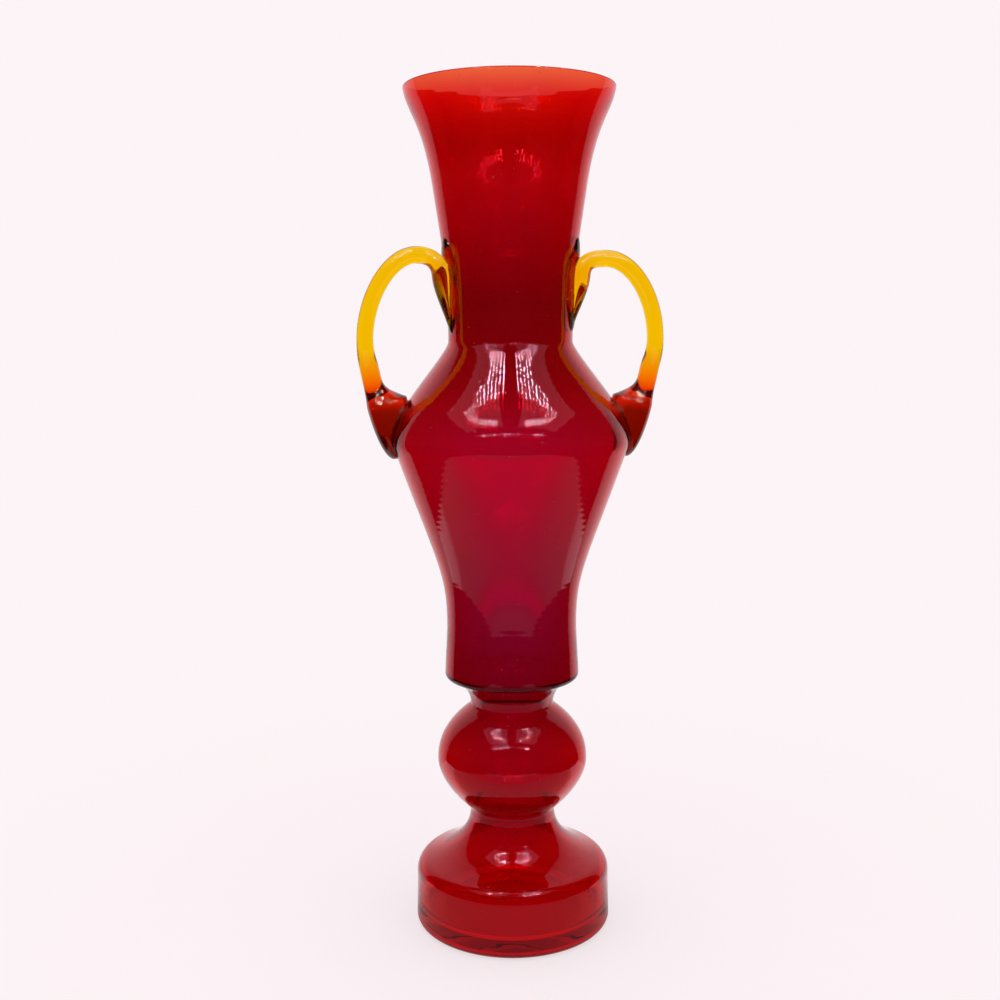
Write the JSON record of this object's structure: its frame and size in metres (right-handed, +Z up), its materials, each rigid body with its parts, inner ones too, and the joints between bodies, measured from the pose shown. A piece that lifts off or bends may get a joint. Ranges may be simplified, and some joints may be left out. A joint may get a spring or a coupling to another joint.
{
  "type": "glass vase",
  "caption": "Tall blown glass vase with a trumpet neck, a tapering bowl, a ball stem, a round foot and a looped handle on each side.",
  "frame": {"origin": "centre of the foot, on the surface that it stands on", "axes": "+Z up along the axis of the vase, X through both handles"},
  "size_m": [0.1611, 0.1262, 0.45],
  "materials": {
    "ruby_glass": "clear ruby red, fire-polished, glossy",
    "amber_glass": "clear amber yellow, fire-polished, glossy"
  },
  "bodies": {
    "root": {"vase_body": "ruby_glass", "handle_right": "amber_glass", "handle_left": "amber_glass"}
  },
  "joints": []
}
